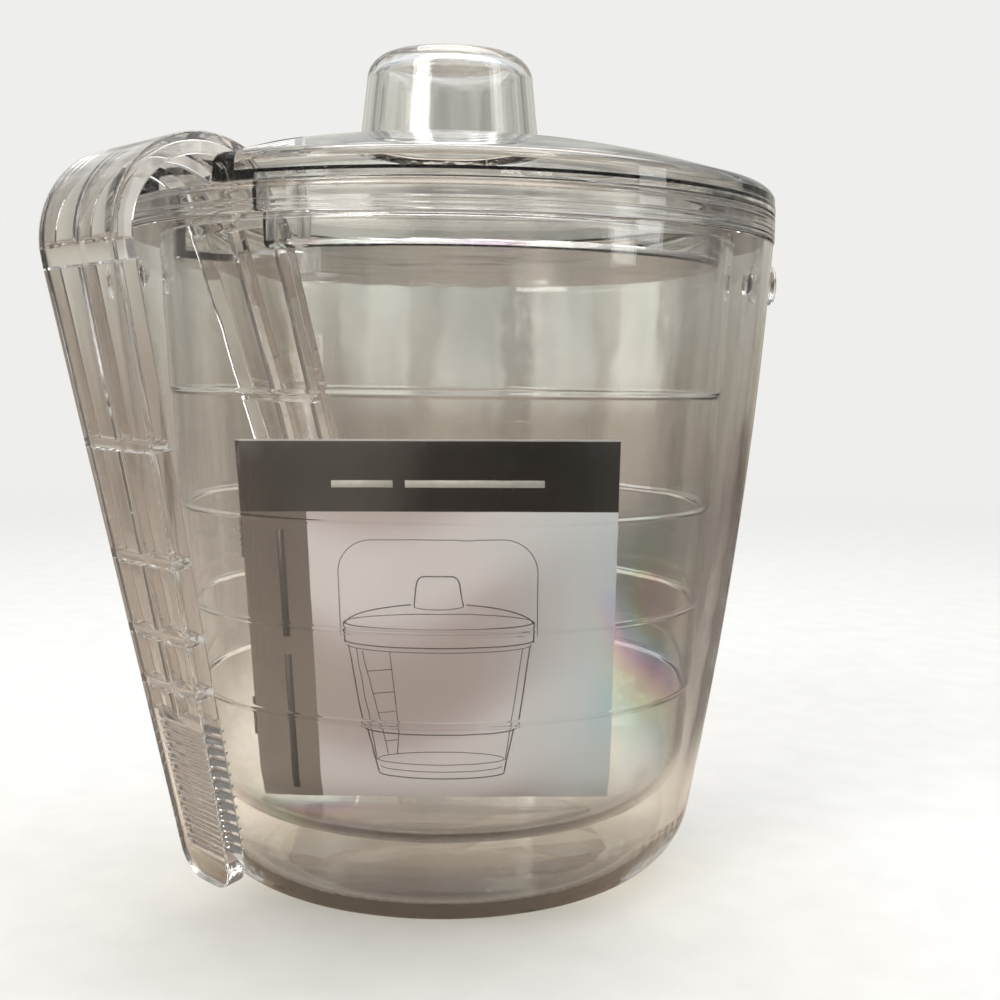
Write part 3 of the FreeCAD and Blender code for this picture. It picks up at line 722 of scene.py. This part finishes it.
def room():
    """A soft studio: pale to the eye, with mid-tone walls and a window for the plastic to mirror."""
    world = bpy.data.worlds.new("room")
    bpy.context.scene.world = world
    s = Shader(world, "ShaderNodeOutputWorld")
    direction = s.node("ShaderNodeTexCoord").outputs["Generated"]
    across, ahead, up = s.split(direction)
    level = s.ramp(s.stretch(up, -0.5, 0.7), [
        (0.0, (0.18, 0.14, 0.11)), (0.36, (0.42, 0.37, 0.31)), (0.44, (0.52, 0.50, 0.44)),
        (0.75, (0.66, 0.66, 0.62)), (1.0, (0.88, 0.90, 0.92))])
    low_right = s.product(s.stretch(across, 0.20, 0.42), s.stretch(up, -0.04, -0.14))
    level = s.mix(low_right, level, DARK_BROWN)
    sides = s.stretch(s.math("ABSOLUTE", across), 0.42, 0.85)
    level = s.mix(s.product(sides, 0.80), level, (0.13, 0.125, 0.12, 1))
    rays = s.node("ShaderNodeLightPath").outputs
    behind = s.stretch(ahead, 0.0, -0.5)
    level = s.mix(s.product(behind, 0.80), level, (0.22, 0.215, 0.20, 1))
    level = s.mix(s.product(behind, rays["Is Glossy Ray"]), level, (0.05, 0.05, 0.05, 1))
    bearing = s.math("ARCTAN2", across, ahead)
    wide = s.product(s.stretch(bearing, -0.16, -0.02), s.stretch(bearing, 0.27, 0.19))
    tall = s.product(s.stretch(up, -0.04, 0.0), s.stretch(up, 0.17, 0.10))
    bars = s.stretch(s.math("SINE", s.product(bearing, 78.0)), -0.9, -0.3, 0.45, 1.0)
    level = s.mix(s.product(wide, tall, bars, 0.55), level, (1.0, 1.0, 0.93, 1))
    unrolled = s.node("ShaderNodeCombineXYZ", X=bearing, Y=s.product(up, 0.25)).outputs[0]
    stripes = s.stretch(s.noise(unrolled, 9.0, 4.0), 0.33, 0.67, 0.66, 1.28)
    lit = s.node("ShaderNodeVectorMath", {"operation": "SCALE"}, Vector=level, Scale=stripes).outputs[0]
    colour = s.mix(rays["Is Camera Ray"], lit, (*PALE, 1))
    s.surface(s.node("ShaderNodeBackground", Color=colour, Strength=1.0))


LAMP_AIM = Vector((0, 0, 0.11))


def softbox(name, place, size, power, colour=(1, 1, 1)):
    """A rectangular lamp aimed at the middle of the bucket."""
    light = bpy.data.lights.new(name, "AREA")
    light.shape = "RECTANGLE"
    light.size, light.size_y = size
    light.energy = power
    light.color = colour
    lamp = bpy.data.objects.new(name, light)
    bpy.context.scene.collection.objects.link(lamp)
    lamp.location = place
    lamp.rotation_mode = "QUATERNION"
    lamp.rotation_quaternion = (LAMP_AIM - Vector(place)).to_track_quat("-Z", "Y")
    lamp.visible_camera = False


CAMERA_PLACE = (0.0, -0.4244, 0.1454)
CAMERA_YAW, CAMERA_PITCH, CAMERA_ROLL = 0.038, -0.086, 0.012
CAMERA_LENS = 50.84


def camera():
    """The photograph's viewing angle, in radians: yaw to the right, pitch up, roll lifts the right side."""
    yaw, pitch, roll = CAMERA_YAW, CAMERA_PITCH, CAMERA_ROLL
    forward = Vector((math.sin(yaw) * math.cos(pitch), math.cos(yaw) * math.cos(pitch), math.sin(pitch)))
    level = Vector((math.cos(yaw), -math.sin(yaw), 0))
    upright = level.cross(forward)
    right = math.cos(roll) * level + math.sin(roll) * upright
    above = -math.sin(roll) * level + math.cos(roll) * upright
    data = bpy.data.cameras.new("camera")
    data.lens = CAMERA_LENS
    data.sensor_width = 36
    data.clip_start = 0.01
    eye = bpy.data.objects.new("camera", data)
    bpy.context.scene.collection.objects.link(eye)
    turn = Matrix((right, above, -forward)).transposed().to_4x4()
    eye.matrix_world = Matrix.Translation(CAMERA_PLACE) @ turn
    bpy.context.scene.camera = eye


def dress(material, *names):
    """Gives CAD nodes that stay in the scene their finished material."""
    for name in names:
        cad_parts[name].material_slots[0].material = material


def main():
    dress(clear_plastic("clear_shell_plastic"), "outer_shell", "handle_stud_right", "handle_stud_left")
    dress(clear_plastic("clear_lid_plastic", stress=lid_stress), "lid_liner", "lid_cover")
    tongs = clear_plastic("clear_tongs_plastic", rough=0.03, tint=TONGS_TINT)
    dress(staple_steel(), "leaflet_staples")
    build_liner()
    build_tongs(tongs)
    build_leaflet()
    build_print()
    floor()
    room()
    softbox("key_window", (-1.3, -1.5, 1.3), (0.9, 1.3), 31, (1.0, 0.99, 0.97))
    softbox("side_strip", (1.5, -0.6, 0.8), (0.35, 1.4), 5, (0.96, 0.98, 1.0))
    softbox("top_panel", (0.2, 0.5, 1.9), (1.6, 1.2), 22)
    camera()
    scene = bpy.context.scene
    scene.view_settings.view_transform = "Standard"
    scene.cycles.max_bounces = 32
    scene.cycles.transmission_bounces = 32
    scene.cycles.glossy_bounces = 32
    scene.cycles.transparent_max_bounces = 48


main()
